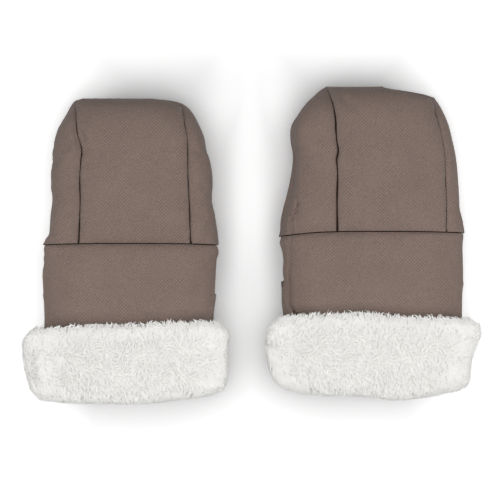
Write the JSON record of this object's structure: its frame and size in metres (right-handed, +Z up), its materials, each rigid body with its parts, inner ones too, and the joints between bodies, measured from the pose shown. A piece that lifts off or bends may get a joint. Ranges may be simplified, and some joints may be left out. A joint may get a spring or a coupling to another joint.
{
  "type": "stroller hand muff",
  "caption": "Pair of padded softshell hand muffs with turned back fleece cuffs; each front flap lifts at its cross seam so that a handlebar can be laid in side notches",
  "frame": {"origin": "centre of the bounding box on the surface that the pair lies on", "axes": "+Z up out of the surface, +X from the left muff to the right muff, +Y from the cuffs to the toes"},
  "size_m": [0.4313, 0.3006, 0.084],
  "materials": {
    "softshell": "matte",
    "fleece": "matte",
    "tape": "matte",
    "snap_metal": "satin"
  },
  "bodies": {
    "left_muff": {"left_centre_panel": "softshell", "left_outer_gusset": "softshell", "left_inner_gusset": "softshell", "left_palm_panel": "softshell", "left_palm_band": "softshell", "left_palm_cuff": "fleece", "left_toe_lining": "fleece", "left_palm_lining": "fleece", "left_outer_snap_ledge": "tape", "left_inner_snap_ledge": "tape", "left_outer_stud_1": "snap_metal", "left_outer_stud_2": "snap_metal", "left_inner_stud_1": "snap_metal", "left_inner_stud_2": "snap_metal"},
    "left_flap": {"left_front_band": "softshell", "left_front_cuff": "fleece", "left_flap_lining": "fleece", "left_outer_hem": "tape", "left_inner_hem": "tape", "left_outer_socket_1": "snap_metal", "left_outer_socket_2": "snap_metal", "left_inner_socket_1": "snap_metal", "left_inner_socket_2": "snap_metal"},
    "right_muff": {"right_centre_panel": "softshell", "right_outer_gusset": "softshell", "right_inner_gusset": "softshell", "right_palm_panel": "softshell", "right_palm_band": "softshell", "right_palm_cuff": "fleece", "right_toe_lining": "fleece", "right_palm_lining": "fleece", "right_outer_snap_ledge": "tape", "right_inner_snap_ledge": "tape", "right_outer_stud_1": "snap_metal", "right_outer_stud_2": "snap_metal", "right_inner_stud_1": "snap_metal", "right_inner_stud_2": "snap_metal"},
    "right_flap": {"right_front_band": "softshell", "right_front_cuff": "fleece", "right_flap_lining": "fleece", "right_outer_hem": "tape", "right_inner_hem": "tape", "right_outer_socket_1": "snap_metal", "right_outer_socket_2": "snap_metal", "right_inner_socket_1": "snap_metal", "right_inner_socket_2": "snap_metal"}
  },
  "joints": [
    {"name": "left_flap_lift", "type": "hinge", "parent": "left_muff", "child": "left_flap", "pos_m": [-0.114, 0.0014, 0.0683], "axis": [-1, 0, 0], "range_deg": [0, 120]},
    {"name": "right_muff_slide", "type": "slide", "parent": "left_muff", "child": "right_muff", "axis": [1, 0, 0], "range_m": [0, 0.25]},
    {"name": "right_flap_lift", "type": "hinge", "parent": "right_muff", "child": "right_flap", "pos_m": [0.1145, 0.0128, 0.0683], "axis": [-1, 0, 0], "range_deg": [0, 120]}
  ]
}
